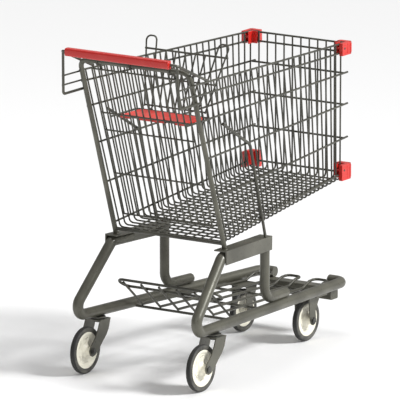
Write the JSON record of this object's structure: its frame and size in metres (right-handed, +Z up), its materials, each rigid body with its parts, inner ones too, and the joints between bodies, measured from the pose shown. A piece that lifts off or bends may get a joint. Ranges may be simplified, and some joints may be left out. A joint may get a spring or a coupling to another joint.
{
  "type": "shopping trolley",
  "caption": "Wire shopping trolley on wheels with red corner bumpers, a red handle grip, a lift-up gate with a folding child seat, and a tube frame with a low tray",
  "frame": {"origin": "centre of the footprint on the floor", "axes": "+X forward to the nose, +Y to the left of whoever pushes it, +Z up"},
  "size_m": [1.0121, 0.472, 1],
  "materials": {
    "frame_steel": "satin lacquer over plated steel tube",
    "wire_steel": "satin lacquer over plated steel wire",
    "zinc_steel": "dull zinc",
    "red_plastic": "moulded, semi-gloss",
    "hub_cream": "moulded, satin",
    "tyre_black": "worn rubber"
  },
  "bodies": {
    "chassis": {"lower_tube_left": "frame_steel", "lower_tube_right": "frame_steel", "front_cross_member": "frame_steel", "side_rail_left": "frame_steel", "side_rail_right": "frame_steel", "front_post_left": "frame_steel", "front_post_right": "frame_steel", "rear_frame": "frame_steel", "frame_crossbar": "wire_steel", "side_wires_left": "wire_steel", "side_wires_right": "wire_steel", "side_rows_left": "wire_steel", "side_rows_right": "wire_steel", "nose_rows": "wire_steel", "nose_uprights": "wire_steel", "floor_panel": "wire_steel", "basket_stay_left": "wire_steel", "basket_stay_right": "wire_steel", "bumper_top_left": "red_plastic", "bumper_top_right": "red_plastic", "bumper_bottom_left": "red_plastic", "bumper_bottom_right": "red_plastic", "handle_bracket_left": "wire_steel", "handle_bracket_right": "wire_steel", "handle_rod": "wire_steel", "handle_grip": "red_plastic", "tray_floor": "wire_steel", "tray_back": "wire_steel", "tray_cross_rods": "wire_steel", "front_fork_left": "frame_steel", "front_fork_right": "frame_steel", "front_axle_left": "zinc_steel", "front_axle_right": "zinc_steel", "swivel_plate_left": "zinc_steel", "swivel_plate_right": "zinc_steel"},
    "gate": {"gate_panel": "wire_steel", "gate_rings": "wire_steel", "seat_arms": "wire_steel"},
    "seat_back": {"seat_back": "wire_steel", "seat_back_eyes": "wire_steel"},
    "seat_flap": {"seat_flap": "red_plastic"},
    "rear_left_caster": {"caster_race_left": "zinc_steel", "caster_fork_left": "frame_steel", "rear_axle_left": "zinc_steel"},
    "rear_right_caster": {"caster_race_right": "zinc_steel", "caster_fork_right": "frame_steel", "rear_axle_right": "zinc_steel"},
    "rear_left_wheel": {"rear_hub_left": "hub_cream", "rear_tyre_left": "tyre_black"},
    "rear_right_wheel": {"rear_hub_right": "hub_cream", "rear_tyre_right": "tyre_black"},
    "front_left_wheel": {"front_hub_left": "hub_cream", "front_tyre_left": "tyre_black"},
    "front_right_wheel": {"front_hub_right": "hub_cream", "front_tyre_right": "tyre_black"}
  },
  "joints": [
    {"name": "gate_swing", "type": "hinge", "parent": "chassis", "child": "gate", "pos_m": [-0.411, 0, 0.951], "axis": [0, -1, 0], "range_deg": [0, 65]},
    {"name": "seat_back_fold", "type": "hinge", "parent": "gate", "child": "seat_back", "pos_m": [-0.204, 0, 0.7746], "axis": [0, -1, 0], "range_deg": [0, 68]},
    {"name": "seat_flap_fold", "type": "hinge", "parent": "gate", "child": "seat_flap", "pos_m": [-0.314, 0, 0.7746], "axis": [0, -1, 0], "range_deg": [0, 108]},
    {"name": "rear_left_swivel", "type": "hinge", "parent": "chassis", "child": "rear_left_caster", "pos_m": [-0.303, 0.204, 0.155], "axis": [0, 0, 1], "continuous": true},
    {"name": "rear_right_swivel", "type": "hinge", "parent": "chassis", "child": "rear_right_caster", "pos_m": [-0.303, -0.204, 0.155], "axis": [0, 0, 1], "continuous": true},
    {"name": "rear_left_spin", "type": "hinge", "parent": "rear_left_caster", "child": "rear_left_wheel", "pos_m": [-0.369, 0.204, 0.07], "axis": [0, 1, 0], "continuous": true},
    {"name": "rear_right_spin", "type": "hinge", "parent": "rear_right_caster", "child": "rear_right_wheel", "pos_m": [-0.369, -0.204, 0.07], "axis": [0, 1, 0], "continuous": true},
    {"name": "front_left_spin", "type": "hinge", "parent": "chassis", "child": "front_left_wheel", "pos_m": [0.337, 0.11208, 0.065], "axis": [0, 1, 0], "continuous": true},
    {"name": "front_right_spin", "type": "hinge", "parent": "chassis", "child": "front_right_wheel", "pos_m": [0.337, -0.11208, 0.065], "axis": [0, 1, 0], "continuous": true}
  ],
  "couplings": [
    {"joint": "seat_flap_fold", "follows": "seat_back_fold", "ratio": 1.588}
  ]
}
